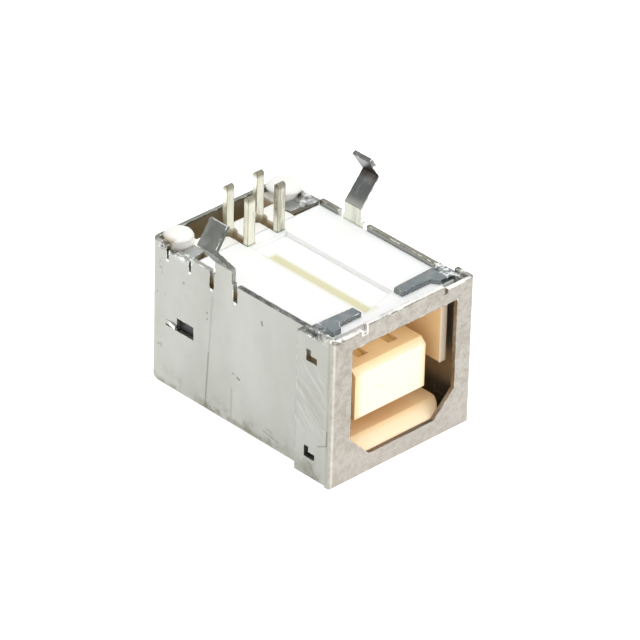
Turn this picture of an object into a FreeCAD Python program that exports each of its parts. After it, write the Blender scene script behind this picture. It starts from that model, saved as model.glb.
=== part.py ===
import FreeCAD, Part
import Sketcher
import math
import os

# USB-B socket for a circuit board, lying as photographed: the resting wall of
# its shell is down, the board side with the pins and the shell legs is up.
# Millimetres. X runs across the mouth, Y from the mouth to the rear wall and
# Z up to the board. Sketches count Y from the front face. Every sub-part's
# Placement then moves it by half the depth, so the origin is the middle of
# the resting wall.

doc = FreeCAD.newDocument("usb_b_socket")
sizes = doc.addObject("Spreadsheet::Sheet", "sizes")

# every size that can be set by itself, in millimetres, with the two leans in degrees
dimensions = {
    # Shell, one stamped and folded sheet
    "depth": 16.62,  # front face to rear wall
    "side_room": 1.33,  # plug cavity to the outside of a side wall
    "floor_room": 1.95,  # resting face to the floor of the plug cavity
    "roof_room": 0.94,  # roof of the plug cavity to the top of the side walls
    "sheet": 0.3,  # thickness of the shell's sheet
    "bend_radius": 0.55,  # outer radius of the folds at the floor and rear
    "lap_gap": 0.02,  # side wall to the ear that laps it
    "seam_gap": 0.05,  # front edge of a side wall to the front plate
    "plate_rise": 0.46,  # middle of the front plate over the side walls
    "shoulder_rise": 0.2,  # outer parts of the front plate over the side walls
    "relief_place": 3.4,  # middle line to each notch in the plate's top edge
    "relief_width": 0.32,  # notch in the plate's top edge
    "relief_depth": 0.3,  # notch in the plate's top edge, below the shoulder
    "plate_bend": 0.35,  # outer radius of the folds of the front plate
    "mouth_side": 0.18,  # opening in the front plate, beyond each side of the plug cavity
    "mouth_under": 0.53,  # opening in the front plate, below the cavity's floor
    "mouth_over": 0.1,  # opening in the front plate, above the cavity's roof
    "mouth_corner": 1.66,  # bevelled lower corners of the opening
    "ear_length": 3.25,  # front face to the rear edge of an ear
    "ear_step": 1.5,  # front face to the step in an ear's top edge
    "ear_drop": 0.24,  # rear part of an ear below the side wall's top
    "ear_foot": 0.12,  # resting face to the lower edge of an ear
    "latch_front": 1.52,  # front face to the L-shaped latch slots
    "latch_width": 0.93,  # latch slot along the socket
    "latch_bar": 0.38,  # width of the latch slot's upright bar
    "latch_height": 0.8,  # height of the upright bar
    "latch_toe": 0.43,  # height of the latch slot's toe
    "latch_low": 1.43,  # resting face to the lower latch slot
    "latch_high": 2.03,  # side wall's top to the upper latch slot
    "window_rear": 2.42,  # rear wall to the side window's rear end
    "window_length": 1.5,  # side window
    "window_low": 4.63,  # resting face to the side window
    "window_height": 0.92,  # side window
    "barb_length": 1.0,  # spring barb's slit behind the window
    "barb_height": 0.4,  # spring barb's slit behind the window
    "slit_one": 1.52,  # rear wall to the slit behind the rear tab
    "slit_two": 3.52,  # rear wall to the slit before the rear tab
    "slit_three": 5.47,  # rear wall to the slit behind the leg
    "slit_four": 7.57,  # rear wall to the slit before the leg
    "tab_slit": 0.18,  # width of the slits beside the rear tab
    "leg_slit": 0.38,  # width of the slits beside the leg
    "tab_slit_depth": 0.91,  # depth of the slits beside the rear tab
    "leg_slit_depth": 1.22,  # depth of the slits beside the leg
    "leg_width": 1.5,  # shell leg along the socket
    "leg_rise": 0.8,  # side wall's top to the leg's first bend
    "leg_arm": 2.4,  # leg's outward stretch
    "leg_spread": 40,  # lean of the outward stretch, degrees from upright
    "leg_return": 1.9,  # leg's inward stretch
    "leg_close": 34,  # lean of the inward stretch, degrees from upright
    "tab_front": 1.25,  # front face to the front retaining tabs
    "tab_root": 1.45,  # front retaining tab at the side wall
    "tab_shoulder": 1.35,  # wide part of the front tab, from the side wall
    "finger_front": 1.8,  # front face to the front tab's narrow finger
    "finger_width": 0.75,  # front tab's narrow finger
    "tab_reach_left": 3.55,  # left front tab from the side wall
    "tab_reach_right": 4.1,  # right front tab from the side wall
    "rear_tab_drop": 0.25,  # rear tab below the side wall's top
    "rear_tab_reach_left": 1.6,  # left rear tab from the side wall
    "rear_tab_reach_right": 2.4,  # right rear tab from the side wall
    "rear_tab_taper": 0.35,  # narrowing of the rear tab on each side
    # Housing, one moulding with the tongue
    "fit_gap": 0.03,  # housing and spacer to the shell, and to each other
    "seam_rear": 3.62,  # rear face to the seam of housing and spacer
    "housing_front": 1.15,  # front face to the housing and tongue
    "cavity_width": 8.44,  # plug cavity
    "cavity_height": 7.4,  # plug cavity
    "cavity_end": 2.2,  # seam to the end of the plug cavity
    "lip_gap": 0.05,  # front plate to the floor lip
    "lip_rise": 1.38,  # resting face to the front edge of the floor lip
    "lip_bevel": 1.1,  # bevel of the floor lip
    "lip_back": 2.4,  # front face to the back of the floor lip
    "lip_round": 1.5,  # round front corners of the floor lip
    "cheek": 0.5,  # side wall of the housing beside the plug
    "cheek_back": 3.0,  # front face to the end of the gap outside a cheek
    "side_slot_top": 4.45,  # resting face to the roof of the side slots
    "side_slot_back": 7.0,  # front face to the end of the side slots
    "side_slot_floor": 0.9,  # resting face to the floor of the side slots
    "tongue_width": 5.9,  # tongue
    "tongue_low": 1.37,  # floor of the plug cavity to the tongue
    "tongue_height": 3.43,  # tongue
    "tongue_bevel": 0.4,  # bevel at the tongue's upper front edge
    "groove_width": 2.9,  # groove in the board side
    "groove_front": 2.0,  # front face to the groove
    "groove_end": 1.0,  # seam to the end of the groove
    "groove_depth": 0.3,  # groove in the board side
    "groove_skew": 0.7,  # slant of the groove's front end
    # Contacts
    "pitch": 2.5,  # contact to contact across the socket
    "near_row_rear": 4.17,  # rear face to the near row of tails
    "far_row_rear": 2.27,  # rear face to the far row of tails
    "blade_front": 2.3,  # front face to the contact's nose
    "blade_width": 0.74,  # contact on the tongue
    "blade_thick": 0.25,  # contact on the tongue
    "blade_depth": 0.1,  # contact's face below the tongue's face
    "nose_drop": 0.25,  # fall of the contact's nose
    "nose_length": 0.9,  # sloping nose of the contact
    "tail_width": 0.6,  # tail across the socket
    "tail_thick": 0.38,  # tail along the socket
    "tail_rise": 3.01,  # side wall's top to the tips of the tails
    "tail_point": 0.12,  # bevel at a tail's tip
    "slot_gap": 0.04,  # contact to its slot in the mouldings
    # Rear spacer
    "trough_side": 2.25,  # outside of a side wall to the trough behind the tails
    "trough_rear": 1.67,  # rear face to the trough's front edge
    "trough_depth": 2.39,  # side wall's top to the trough's floor
    "notch_width": 1.2,  # round notch about each far tail
    "notch_depth": 1.09,  # side wall's top to the floor of the round notch
    "boss_side": 1.25,  # outside of a side wall to the middle of each boss
    "boss_rear": 1.27,  # rear face to the middle of each boss
    "boss_radius": 0.86,  # boss
    "boss_rise": 0.21,  # side wall's top to the top of the bosses
    "pocket_drop": 0.4,  # seat of the rear tab below the board side
}
for row, (alias, value) in enumerate(dimensions.items(), start=1):
    sizes.set("A%d" % row, alias)
    sizes.set("B%d" % row, str(value))
    sizes.setAlias("B%d" % row, alias)
doc.recompute()

worked_out = {}


def mm(expression):
    if expression not in worked_out:
        worked_out[expression] = float(sizes.evalExpression(expression))
    return worked_out[expression]


# Terms that several pieces share, written once
half = "(sizes.cavity_width / 2 + sizes.side_room)"
face_half = "(" + half + " + sizes.lap_gap + sizes.sheet)"
inner_half = "(" + half + " - sizes.sheet)"
block_half = "(" + half + " - sizes.sheet - sizes.fit_gap)"
floor_top = "(sizes.sheet + sizes.fit_gap)"
cavity_roof = "(sizes.floor_room + sizes.cavity_height)"
wall_top = "(" + cavity_roof + " + sizes.roof_room)"
deck = "(" + wall_top + " - sizes.sheet - sizes.fit_gap)"
tongue_base = "(sizes.floor_room + sizes.tongue_low)"
tongue_top = "(" + tongue_base + " + sizes.tongue_height)"
seam = "(sizes.depth - sizes.seam_rear)"
cavity_back = "(" + seam + " - sizes.cavity_end)"
near_row = "(sizes.depth - sizes.near_row_rear)"
far_row = "(sizes.depth - sizes.far_row_rear)"
slit_one = "(sizes.depth - sizes.slit_one)"
slit_two = "(sizes.depth - sizes.slit_two)"
trough_half = "(" + half + " - sizes.trough_side)"
trough_front = "(sizes.depth - sizes.trough_rear)"
trough_floor = "(" + wall_top + " - sizes.trough_depth)"
notch_floor = "(" + wall_top + " - sizes.notch_depth)"
boss_along = "(sizes.depth - sizes.boss_rear)"


def new_body(name):
    body = doc.addObject("PartDesign::Body", name)
    body.Label = name
    body.setExpression("Placement.Base.y", "-sizes.depth / 2")
    return body


def new_sketch(body, name, plane, offset="0"):
    sketch = body.newObject("Sketcher::SketchObject", body.Name + "_" + name)
    for feature in body.Origin.OriginFeatures:
        if feature.Role == plane:
            sketch.AttachmentSupport = [(feature, "")]
    sketch.MapMode = "FlatFace"
    if offset != "0":
        sketch.setExpression("AttachmentOffset.Base.z", offset)
    return sketch


def place_point(sketch, geometry, point, expressions):
    for axis, other, expression in (("DistanceX", -2, expressions[0]), ("DistanceY", -1, expressions[1])):
        value = mm(expression)
        if expression == "0":
            sketch.addConstraint(Sketcher.Constraint("PointOnObject", geometry, point, other))
        else:
            number = sketch.addConstraint(Sketcher.Constraint(axis, -1, 1, geometry, point, value))
            sketch.setExpression("Constraints[%d]" % number, expression)


def draw_outline(sketch, corners):
    first = sketch.GeometryCount
    places = [FreeCAD.Vector(mm(across), mm(along), 0) for across, along in corners]
    count = len(corners)
    for number in range(count):
        line = Part.LineSegment(places[number], places[(number + 1) % count])
        sketch.addGeometry(line, False)
    for number in range(count):
        following = first + (number + 1) % count
        sketch.addConstraint(Sketcher.Constraint("Coincident", first + number, 2, following, 1))
    for number in range(count):
        place_point(sketch, first + number, 1, corners[number])


def draw_rectangle(sketch, left, right, low, high):
    draw_outline(sketch, [(left, low), (right, low), (right, high), (left, high)])


def draw_circle(sketch, across, along, radius):
    centre = FreeCAD.Vector(mm(across), mm(along), 0)
    number = sketch.addGeometry(Part.Circle(centre, FreeCAD.Vector(0, 0, 1), mm(radius)), False)
    place_point(sketch, number, 3, (across, along))
    bound = sketch.addConstraint(Sketcher.Constraint("Radius", number, mm(radius)))
    sketch.setExpression("Constraints[%d]" % bound, radius)


def draw_round_corner(sketch, radius):
    # what a round corner of this radius leaves outside it, in the sketch's own corner
    reach = mm(radius)
    corner = FreeCAD.Vector(0, 0, 0)
    across = FreeCAD.Vector(reach, 0, 0)
    upward = FreeCAD.Vector(0, reach, 0)
    circle = Part.Circle(FreeCAD.Vector(reach, reach, 0), FreeCAD.Vector(0, 0, 1), reach)
    lower = sketch.addGeometry(Part.LineSegment(corner, across), False)
    arc = sketch.addGeometry(Part.ArcOfCircle(circle, math.pi, 1.5 * math.pi), False)
    upright = sketch.addGeometry(Part.LineSegment(upward, corner), False)
    sketch.addConstraint(Sketcher.Constraint("Coincident", lower, 1, -1, 1))
    sketch.addConstraint(Sketcher.Constraint("Coincident", upright, 2, -1, 1))
    sketch.addConstraint(Sketcher.Constraint("Coincident", lower, 2, arc, 2))
    sketch.addConstraint(Sketcher.Constraint("Coincident", upright, 1, arc, 1))
    place_point(sketch, lower, 2, (radius, "0"))
    place_point(sketch, upright, 1, ("0", radius))
    centre = sketch.addConstraint(Sketcher.Constraint("DistanceX", -1, 1, arc, 3, reach))
    sketch.setExpression("Constraints[%d]" % centre, radius)


def pad(body, sketch, length, backward=False):
    feature = body.newObject("PartDesign::Pad", sketch.Name + "_pad")
    feature.Profile = sketch
    feature.setExpression("Length", length)
    feature.Reversed = backward
    doc.recompute()
    return feature


def pocket(body, sketch, length, backward=False):
    before = body.Shape.Volume
    feature = body.newObject("PartDesign::Pocket", sketch.Name + "_cut")
    feature.Profile = sketch
    feature.setExpression("Length", length)
    feature.Reversed = backward
    doc.recompute()
    if not body.Shape.Volume < before:
        raise RuntimeError(feature.Name + " removed nothing")
    return feature


def round_edges(body, name, radius, wanted):
    base = body.Tip
    names = []
    for number, edge in enumerate(base.Shape.Edges):
        if wanted(edge.BoundBox):
            names.append("Edge%d" % (number + 1))
    if not names:
        raise RuntimeError(name + " found no edge")
    feature = body.newObject("PartDesign::Fillet", body.Name + "_" + name)
    feature.Base = (base, names)
    feature.setExpression("Radius", radius)
    doc.recompute()
    return feature


def bevel_edges(body, name, length, wanted):
    base = body.Tip
    names = []
    for number, edge in enumerate(base.Shape.Edges):
        if wanted(edge.BoundBox):
            names.append("Edge%d" % (number + 1))
    if not names:
        raise RuntimeError(name + " found no edge")
    feature = body.newObject("PartDesign::Chamfer", body.Name + "_" + name)
    feature.Base = (base, names)
    feature.setExpression("Size", length)
    doc.recompute()
    return feature


def near(value, expression):
    return abs(value - mm(expression)) < 0.001


def at_x(box, expression):
    return near(box.XMin, expression) and near(box.XMax, expression)


def at_y(box, expression):
    return near(box.YMin, expression) and near(box.YMax, expression)


def at_z(box, expression):
    return near(box.ZMin, expression) and near(box.ZMax, expression)


def at_either_side(box, expression):
    return at_x(box, expression) or at_x(box, "-(" + expression + ")")


def signed(side, expression):
    return "%d * (%s)" % (side, expression)


def signed_text(side, expression):
    return (" + " if side > 0 else " - ") + "(" + expression + ")"


def make_shell():
    body = new_body("shell")
    tub_front = "(sizes.sheet + sizes.seam_gap)"
    shoulder = "(" + wall_top + " + sizes.shoulder_rise)"
    crest = "(" + wall_top + " + sizes.plate_rise)"

    # front plate with an ear folded back at each side
    cap = new_sketch(body, "cap", "XY_Plane")
    ear_inner = "(" + face_half + " - sizes.sheet)"
    draw_outline(cap, [("-" + face_half, "0"), (face_half, "0"), (face_half, "sizes.ear_length"),
                       (ear_inner, "sizes.ear_length"), (ear_inner, "sizes.sheet"),
                       ("-" + ear_inner, "sizes.sheet"), ("-" + ear_inner, "sizes.ear_length"),
                       ("-" + face_half, "sizes.ear_length")])
    pad(body, cap, shoulder)
    round_edges(body, "ear_bends", "sizes.plate_bend", lambda box: (
        at_y(box, "0") and at_either_side(box, face_half)))
    mouth = new_sketch(body, "mouth", "XZ_Plane")
    mouth_half = "(sizes.cavity_width / 2 + sizes.mouth_side)"
    mouth_low = "(sizes.floor_room - sizes.mouth_under)"
    mouth_top = "(" + cavity_roof + " + sizes.mouth_over)"
    inset = mouth_half + " - sizes.mouth_corner"
    corner = mouth_low + " + sizes.mouth_corner"
    draw_outline(mouth, [("-(" + inset + ")", mouth_low), (inset, mouth_low),
                         (mouth_half, corner), (mouth_half, mouth_top),
                         ("-" + mouth_half, mouth_top), ("-" + mouth_half, corner)])
    pocket(body, mouth, "sizes.sheet")
    rise = new_sketch(body, "crest", "XZ_Plane")
    crest_half = "(sizes.relief_place - sizes.relief_width / 2)"
    draw_rectangle(rise, "-" + crest_half, crest_half, shoulder + " - sizes.relief_depth", crest)
    pad(body, rise, "sizes.sheet", backward=True)
    for side, name in ((-1, "left_relief"), (1, "right_relief")):
        relief = new_sketch(body, name, "XZ_Plane")
        draw_rectangle(relief, signed(side, crest_half), signed(side, crest_half + " + sizes.relief_width"),
                       shoulder + " - sizes.relief_depth", crest)
        pocket(body, relief, "sizes.sheet")
    edges = new_sketch(body, "ear_edges", "YZ_Plane", "-" + face_half)
    draw_rectangle(edges, "sizes.ear_step", "sizes.ear_length + sizes.sheet",
                   wall_top + " - sizes.ear_drop", crest)
    draw_rectangle(edges, "sizes.plate_bend + sizes.sheet", "sizes.ear_length + sizes.sheet",
                   "-sizes.sheet", "sizes.ear_foot")
    pocket(body, edges, "2 * " + face_half, backward=True)

    # resting wall, side walls and rear wall
    tub = new_sketch(body, "tub", "XY_Plane")
    draw_rectangle(tub, "-" + half, half, tub_front, "sizes.depth")
    pad(body, tub, wall_top)
    round_edges(body, "outer_bends", "sizes.bend_radius", lambda box: (
        (at_z(box, "0") and (at_either_side(box, half) or at_y(box, "sizes.depth")))
        or (at_y(box, "sizes.depth") and at_either_side(box, half))))
    inside = new_sketch(body, "inside", "XY_Plane", wall_top)
    inner_rear = "sizes.depth - sizes.sheet"
    draw_rectangle(inside, "-" + inner_half, inner_half, tub_front, inner_rear)
    pocket(body, inside, wall_top + " - sizes.sheet")
    round_edges(body, "inner_bends", "sizes.bend_radius - sizes.sheet", lambda box: (
        (at_z(box, "sizes.sheet") and (at_either_side(box, inner_half) or at_y(box, inner_rear)))
        or (at_y(box, inner_rear) and at_either_side(box, inner_half))))
    apron = new_sketch(body, "apron", "XZ_Plane", "-sizes.sheet")
    apron_half = "(" + half + " - sizes.bend_radius)"
    draw_rectangle(apron, "-" + apron_half, apron_half, "0", "sizes.sheet")
    pad(body, apron, "sizes.seam_gap", backward=True)
    fold = new_sketch(body, "front_fold", "YZ_Plane", "-" + face_half)
    draw_round_corner(fold, "sizes.plate_bend")
    pocket(body, fold, "2 * " + face_half, backward=True)

    # slits down from the top edge set the rear tab and the leg free
    for name, place, width, deep in (
            ("slit_one", slit_one, "sizes.tab_slit", "sizes.tab_slit_depth"),
            ("slit_two", slit_two, "sizes.tab_slit", "sizes.tab_slit_depth"),
            ("slit_three", "(sizes.depth - sizes.slit_three)", "sizes.leg_slit", "sizes.leg_slit_depth"),
            ("slit_four", "(sizes.depth - sizes.slit_four)", "sizes.leg_slit", "sizes.leg_slit_depth")):
        slit = new_sketch(body, name, "XY_Plane", wall_top)
        draw_rectangle(slit, "-" + face_half, face_half,
                       place + " - " + width + " / 2", place + " + " + width + " / 2")
        pocket(body, slit, deep)
    drop = new_sketch(body, "tab_edge", "XY_Plane", wall_top)
    draw_rectangle(drop, "-" + face_half, face_half, slit_two, slit_one)
    pocket(body, drop, "sizes.rear_tab_drop")

    # latch slots through ear and wall, and the side windows
    for side, name in ((-1, "left"), (1, "right")):
        offset = signed(side, face_half)
        latch = new_sketch(body, name + "_latches", "YZ_Plane", offset)
        latch_back = "sizes.latch_front + sizes.latch_width"
        bar_front = latch_back + " - sizes.latch_bar"
        for low in ("sizes.latch_low", wall_top + " - sizes.latch_high"):
            draw_outline(latch, [("sizes.latch_front", low), (latch_back, low),
                                 (latch_back, low + " + sizes.latch_height"),
                                 (bar_front, low + " + sizes.latch_height"),
                                 (bar_front, low + " + sizes.latch_toe"),
                                 ("sizes.latch_front", low + " + sizes.latch_toe")])
        pocket(body, latch, "2 * sizes.sheet + sizes.lap_gap", backward=side < 0)
        window = new_sketch(body, name + "_window", "YZ_Plane", offset)
        window_back = "(sizes.depth - sizes.window_rear)"
        window_front = window_back + " - sizes.window_length"
        window_top = "sizes.window_low + sizes.window_height"
        barb_back = window_back + " + sizes.barb_length"
        barb_top = "sizes.window_low + sizes.barb_height / 4"
        draw_outline(window, [(window_front, "sizes.window_low"), (barb_back, "sizes.window_low"),
                              (barb_back, barb_top), (window_back, barb_top),
                              (window_back, window_top), (window_front, window_top)])
        pocket(body, window, "2 * sizes.sheet + sizes.lap_gap", backward=side < 0)

    # snap-in legs: up, outward, then inward to a narrow tip
    leg_middle = "(sizes.depth - (sizes.slit_three + sizes.slit_four) / 2)"
    first_bend = wall_top + " + sizes.leg_rise"
    for side, name in ((-1, "left_leg"), (1, "right_leg")):
        leg = new_sketch(body, name, "XZ_Plane", "-(" + leg_middle + " - sizes.leg_width / 2)")
        spread = "sizes.leg_spread"
        close = "sizes.leg_close"
        knee_x = half + " + sizes.leg_arm * sin(" + spread + " * 1deg)"
        knee_z = first_bend + " + sizes.leg_arm * cos(" + spread + " * 1deg)"
        tip_x = knee_x + " - sizes.leg_return * sin(" + close + " * 1deg)"
        tip_z = knee_z + " + sizes.leg_return * cos(" + close + " * 1deg)"
        first_shift = "sizes.sheet * tan(" + spread + " * 0.5deg)"
        turn = "(" + spread + " + " + close + ") * 0.5deg"
        middle_lean = "(" + spread + " - " + close + ") * 0.5deg"
        mitre = "sizes.sheet / cos(" + turn + ")"
        knee_inner_x = knee_x + " - " + mitre + " * cos(" + middle_lean + ")"
        knee_inner_z = knee_z + " + " + mitre + " * sin(" + middle_lean + ")"
        tip_inner_x = tip_x + " - sizes.sheet * cos(" + close + " * 1deg)"
        tip_inner_z = tip_z + " - sizes.sheet * sin(" + close + " * 1deg)"
        root = wall_top + " - sizes.leg_slit_depth / 2"
        outline = [(half, root), (half, first_bend), (knee_x, knee_z), (tip_x, tip_z),
                   (tip_inner_x, tip_inner_z), (knee_inner_x, knee_inner_z),
                   (inner_half, first_bend + " + " + first_shift), (inner_half, root)]
        draw_outline(leg, [(signed(side, across), along) for across, along in outline])
        pad(body, leg, "sizes.leg_width", backward=True)

    # retaining tabs folded over the housing, and rear tabs over the spacer
    for side, name in ((-1, "left"), (1, "right")):
        reach = "sizes.tab_reach_" + name
        tab = new_sketch(body, name + "_front_tab", "XY_Plane", wall_top + " - sizes.sheet")
        step = half + " - sizes.tab_shoulder"
        tip = half + " - " + reach
        finger_back = "sizes.finger_front + sizes.finger_width"
        outline = [(half, "sizes.tab_front"), (step, "sizes.tab_front"),
                   (step + " - sizes.finger_width / 2", "sizes.finger_front"), (tip, "sizes.finger_front"),
                   (tip, finger_back), (half, "sizes.tab_front + sizes.tab_root")]
        draw_outline(tab, [(signed(side, across), along) for across, along in outline])
        pad(body, tab, "sizes.sheet")
        rear_low = wall_top + " - sizes.rear_tab_drop - sizes.sheet"
        rear = new_sketch(body, name + "_rear_tab", "XY_Plane", rear_low)
        front_edge = slit_two + " + sizes.tab_slit / 2"
        back_edge = slit_one + " - sizes.tab_slit / 2"
        boss_side = boss_along + " - sizes.boss_radius - 2 * sizes.slot_gap"
        tip = half + " - sizes.rear_tab_reach_" + name
        outline = [(half, front_edge), (tip, front_edge + " + sizes.rear_tab_taper"), (tip, boss_side),
                   (half + " - sizes.bend_radius", boss_side), (half, back_edge)]
        draw_outline(rear, [(signed(side, across), along) for across, along in outline])
        pad(body, rear, "sizes.sheet")
    return body


def make_housing():
    body = new_body("housing")
    block = new_sketch(body, "block", "XY_Plane", floor_top)
    draw_rectangle(block, "-" + block_half, block_half, "sizes.housing_front", seam)
    pad(body, block, deck + " - " + floor_top)
    round_edges(body, "long_edges", "sizes.bend_radius - sizes.sheet", lambda box: (
        at_z(box, floor_top) and at_either_side(box, block_half)))

    # plug cavity cut about the tongue
    wide = "sizes.cavity_width / 2"
    cavity = new_sketch(body, "cavity", "XZ_Plane")
    draw_rectangle(cavity, "-" + wide, wide, "sizes.floor_room", cavity_roof)
    draw_rectangle(cavity, "-sizes.tongue_width / 2", "sizes.tongue_width / 2", tongue_base, tongue_top)
    pocket(body, cavity, cavity_back)

    # slots in the side walls below the cheeks, and the gaps outside the cheeks
    for side, name in ((-1, "left"), (1, "right")):
        slot = new_sketch(body, name + "_slot", "XZ_Plane")
        draw_rectangle(slot, signed(side, wide), signed(side, half),
                       "sizes.side_slot_floor", "sizes.side_slot_top")
        pocket(body, slot, "sizes.side_slot_back")
        gap = new_sketch(body, name + "_gap", "XZ_Plane")
        draw_rectangle(gap, signed(side, wide + " + sizes.cheek"), signed(side, half),
                       "sizes.side_slot_top", cavity_roof)
        pocket(body, gap, "sizes.cheek_back")

    # floor lip with round corners and a lead-in bevel
    below = new_sketch(body, "below_lip", "XZ_Plane")
    draw_rectangle(below, "-" + half, half, "0", "sizes.floor_room")
    pocket(body, below, "sizes.lip_back")
    lip = new_sketch(body, "lip", "XZ_Plane", "-sizes.sheet - sizes.lip_gap")
    draw_rectangle(lip, "-" + wide, wide, floor_top, "sizes.floor_room")
    pad(body, lip, "sizes.lip_back - sizes.sheet - sizes.lip_gap", backward=True)
    lip_front = "sizes.sheet + sizes.lip_gap"
    round_edges(body, "lip_corners", "sizes.lip_round", lambda box: (
        at_y(box, lip_front) and at_either_side(box, wide)))
    ramp = new_sketch(body, "ramp", "YZ_Plane", "-" + block_half)
    draw_outline(ramp, [("0", "sizes.lip_rise"), (lip_front, "sizes.lip_rise"),
                        (lip_front + " + sizes.lip_bevel", "sizes.floor_room"),
                        (lip_front + " + sizes.lip_bevel", tongue_base), ("0", tongue_base)])
    pocket(body, ramp, "2 * " + block_half, backward=True)

    # groove in the board side, its front end cut on the slant
    groove = new_sketch(body, "groove", "XY_Plane", deck)
    groove_half = "sizes.groove_width / 2"
    groove_back = seam + " - sizes.groove_end"
    draw_outline(groove, [("-" + groove_half, "sizes.groove_front"),
                          (groove_half, "sizes.groove_front + sizes.groove_skew"),
                          (groove_half, groove_back), ("-" + groove_half, groove_back)])
    pocket(body, groove, "sizes.groove_depth")
    bevel_edges(body, "tongue_bevel", "sizes.tongue_bevel", lambda box: (
        at_y(box, "sizes.housing_front") and at_z(box, tongue_top)))

    # channels for the contacts on both faces of the tongue, out to the rear
    channel_half = "(sizes.blade_width / 2 + sizes.slot_gap)"
    deep = "(sizes.blade_depth + sizes.blade_thick + sizes.slot_gap)"
    for side, name in ((-1, "left_channels"), (1, "right_channels")):
        middle = signed(side, "sizes.pitch / 2")
        channel = new_sketch(body, name, "XZ_Plane", "-" + seam)
        draw_rectangle(channel, middle + " - " + channel_half, middle + " + " + channel_half,
                       tongue_top + " - " + deep, tongue_top + " + sizes.slot_gap")
        draw_rectangle(channel, middle + " - " + channel_half, middle + " + " + channel_half,
                       tongue_base + " - sizes.slot_gap", tongue_base + " + " + deep)
        pocket(body, channel, seam + " - sizes.blade_front + sizes.slot_gap", backward=True)
        rise = new_sketch(body, name + "_rise", "XZ_Plane", "-" + seam)
        tail_half = "(sizes.tail_width / 2 + sizes.slot_gap)"
        draw_rectangle(rise, middle + " - " + tail_half, middle + " + " + tail_half,
                       tongue_top + " - " + deep, wall_top)
        pocket(body, rise, seam + " - " + near_row + " + sizes.tail_thick / 2 + sizes.slot_gap",
               backward=True)
    for side, name in ((-1, "left_nose"), (1, "right_nose")):
        middle = signed(side, "sizes.pitch / 2")
        for level, tag in ((1, "upper"), (-1, "lower")):
            nose = new_sketch(body, name + "_" + tag, "YZ_Plane", middle + " - " + channel_half)
            face = tongue_top if level > 0 else tongue_base
            start = face + signed_text(-level, deep)
            finish = start + signed_text(-level, "sizes.nose_drop")
            front = "sizes.blade_front - sizes.slot_gap"
            back = "sizes.blade_front + sizes.nose_length"
            draw_outline(nose, [(front, face), (front, finish), (back, finish), (back, face)])
            pocket(body, nose, "2 * " + channel_half, backward=True)
    return body


def make_spacer():
    body = new_body("tail_spacer")
    block = new_sketch(body, "block", "XY_Plane", floor_top)
    rear = "sizes.depth - sizes.sheet - sizes.fit_gap"
    draw_rectangle(block, "-" + block_half, block_half, seam + " + sizes.fit_gap", rear)
    pad(body, block, deck + " - " + floor_top)
    round_edges(body, "long_edges", "sizes.bend_radius - sizes.sheet", lambda box: (
        (at_z(box, floor_top) and (at_either_side(box, block_half) or at_y(box, rear)))
        or (at_y(box, rear) and at_either_side(box, block_half))))
    trough = new_sketch(body, "trough", "XY_Plane", deck)
    draw_rectangle(trough, "-" + trough_half, trough_half, trough_front, "sizes.depth")
    pocket(body, trough, deck + " - " + trough_floor)
    for side, name in ((-1, "left"), (1, "right")):
        seat = new_sketch(body, name + "_seat", "XY_Plane", deck)
        tip = half + " - sizes.rear_tab_reach_" + name + " - sizes.slot_gap"
        draw_rectangle(seat, signed(side, tip), signed(side, half),
                       seam, "sizes.slot_gap + " + slit_one)
        pocket(body, seat, "sizes.pocket_drop")
        boss = new_sketch(body, name + "_boss", "XY_Plane", trough_floor)
        draw_circle(boss, signed(side, half + " - sizes.boss_side"), boss_along, "sizes.boss_radius")
        pad(body, boss, wall_top + " + sizes.boss_rise - " + trough_floor)
        middle = signed(side, "sizes.pitch / 2")
        notch = new_sketch(body, name + "_notch", "XY_Plane", deck)
        draw_rectangle(notch, middle + " - sizes.notch_width / 2", middle + " + sizes.notch_width / 2",
                       far_row, trough_front)
        draw_round = new_sketch(body, name + "_notch_end", "XY_Plane", deck)
        draw_circle(draw_round, middle, far_row, "sizes.notch_width / 2")
        pocket(body, notch, deck + " - " + notch_floor)
        pocket(body, draw_round, deck + " - " + notch_floor)
        slot = new_sketch(body, name + "_slot", "XZ_Plane", "-" + seam)
        tail_half = "(sizes.tail_width / 2 + sizes.slot_gap)"
        draw_rectangle(slot, middle + " - " + tail_half, middle + " + " + tail_half,
                       tongue_base + " - sizes.slot_gap", wall_top)
        pocket(body, slot, far_row + " - " + seam + " + sizes.tail_thick / 2 + sizes.slot_gap")
    return body


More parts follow.
